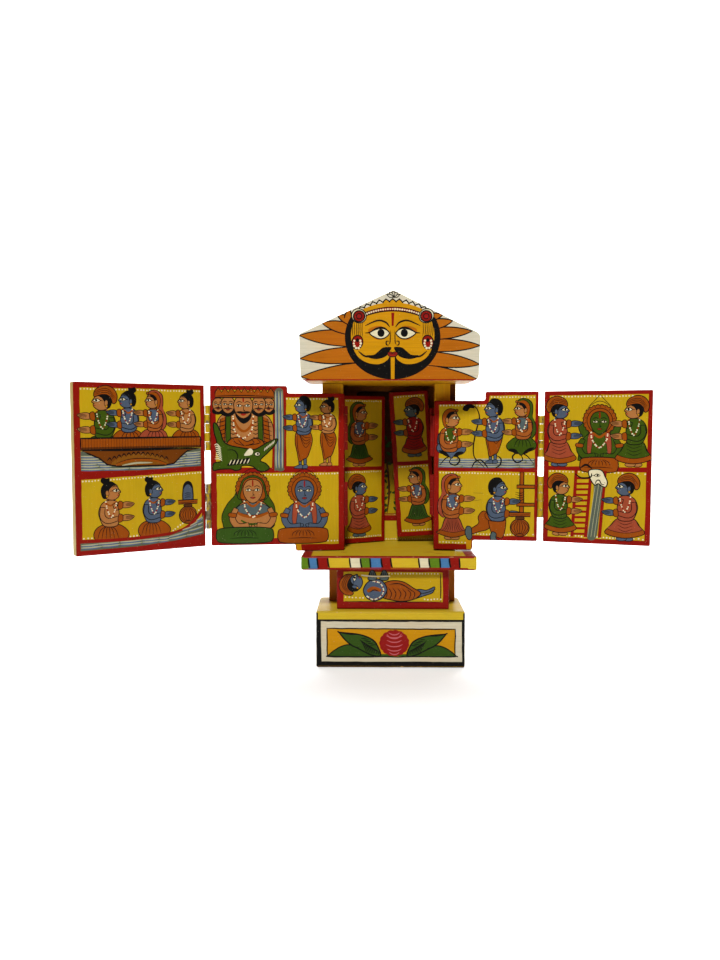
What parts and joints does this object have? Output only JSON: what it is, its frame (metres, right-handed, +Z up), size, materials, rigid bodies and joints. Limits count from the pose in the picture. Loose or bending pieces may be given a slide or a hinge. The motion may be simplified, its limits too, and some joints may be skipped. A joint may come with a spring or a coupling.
{
  "type": "folding shrine box",
  "caption": "Painted wooden folding shrine box on a plinth, with a gabled roof, a shrine cavity with inner leaves, hinged folding doors painted with figures, and a small drawer.",
  "frame": {"origin": "middle of the wide front part and rear part of the plinth's underside, on the surface it stands on", "axes": "+X to the right across the open doors, +Y away from the front, +Z up"},
  "size_m": [0.5579, 0.1893, 0.374],
  "materials": {
    "yellow_paint": "painted yellow, clear varnish, satin",
    "door_paint": "painted dark red with painted scenes, clear varnish, satin",
    "inner_paint": "painted brown-yellow and red, clear varnish, satin",
    "ledge_paint": "painted red with coloured stripes, clear varnish, satin",
    "roof_paint": "painted cream with a sun face, clear varnish, satin",
    "hinge_metal": "small butt hinges, partly painted over"
  },
  "bodies": {
    "shrine": {"plinth": "yellow_paint", "neck_cheek_left": "yellow_paint", "neck_cheek_right": "yellow_paint", "neck_back": "yellow_paint", "ledge": "ledge_paint", "post_left": "yellow_paint", "post_right": "yellow_paint", "wall_left": "inner_paint", "wall_right": "inner_paint", "back_panel": "inner_paint", "altar_step": "yellow_paint", "sanctum_frame": "inner_paint", "roof": "roof_paint", "hinge_door_left_lower_fixed": "hinge_metal", "hinge_door_left_upper_fixed": "hinge_metal", "hinge_door_right_lower_fixed": "hinge_metal", "hinge_door_right_upper_fixed": "hinge_metal", "hinge_leaf_left_lower_fixed": "hinge_metal", "hinge_leaf_left_upper_fixed": "hinge_metal", "hinge_leaf_right_lower_fixed": "hinge_metal", "hinge_leaf_right_upper_fixed": "hinge_metal"},
    "door_left": {"door_left": "door_paint", "hinge_door_left_lower_moving": "hinge_metal", "hinge_door_left_upper_moving": "hinge_metal", "hinge_wing_left_lower_fixed": "hinge_metal", "hinge_wing_left_upper_fixed": "hinge_metal"},
    "wing_left": {"wing_left": "door_paint", "hinge_wing_left_lower_moving": "hinge_metal", "hinge_wing_left_upper_moving": "hinge_metal"},
    "door_right": {"door_right": "door_paint", "hinge_door_right_lower_moving": "hinge_metal", "hinge_door_right_upper_moving": "hinge_metal", "hinge_wing_right_lower_fixed": "hinge_metal", "hinge_wing_right_upper_fixed": "hinge_metal"},
    "wing_right": {"wing_right": "door_paint", "hinge_wing_right_lower_moving": "hinge_metal", "hinge_wing_right_upper_moving": "hinge_metal"},
    "leaf_left": {"leaf_left": "door_paint", "hinge_leaf_left_lower_moving": "hinge_metal", "hinge_leaf_left_upper_moving": "hinge_metal"},
    "leaf_right": {"leaf_right": "door_paint", "hinge_leaf_right_lower_moving": "hinge_metal", "hinge_leaf_right_upper_moving": "hinge_metal"},
    "drawer": {"drawer_front": "door_paint", "drawer_side_left": "yellow_paint", "drawer_side_right": "yellow_paint", "drawer_back": "yellow_paint", "drawer_bottom": "yellow_paint"}
  },
  "joints": [
    {"name": "left_door_hinge", "type": "hinge", "parent": "shrine", "child": "door_left", "pos_m": [-0.0462, -0.01535, 0.2], "axis": [0, 0, 1], "range_deg": [-8.4, 142]},
    {"name": "left_wing_hinge", "type": "hinge", "parent": "door_left", "child": "wing_left", "pos_m": [-0.18501, -0.04808, 0.2], "axis": [0, 0, -1], "range_deg": [-152, 26]},
    {"name": "right_door_hinge", "type": "hinge", "parent": "shrine", "child": "door_right", "pos_m": [0.0442, -0.01535, 0.2], "axis": [0, 0, 1], "range_deg": [-142, 8]},
    {"name": "right_wing_hinge", "type": "hinge", "parent": "door_right", "child": "wing_right", "pos_m": [0.15254, -0.04279, 0.2], "axis": [0, 0, -1], "range_deg": [-11.2, 167]},
    {"name": "left_leaf_hinge", "type": "hinge", "parent": "shrine", "child": "leaf_left", "pos_m": [-0.0543, 0.0132, 0.2], "axis": [0, 0, 1], "range_deg": [-90, 0]},
    {"name": "right_leaf_hinge", "type": "hinge", "parent": "shrine", "child": "leaf_right", "pos_m": [0.0503, 0.0374, 0.2], "axis": [-0.0628, 0, 0.998], "range_deg": [0, 70]},
    {"name": "drawer_slide", "type": "slide", "parent": "shrine", "child": "drawer", "axis": [0, -1, 0], "range_m": [-0.042, 0.015]}
  ]
}
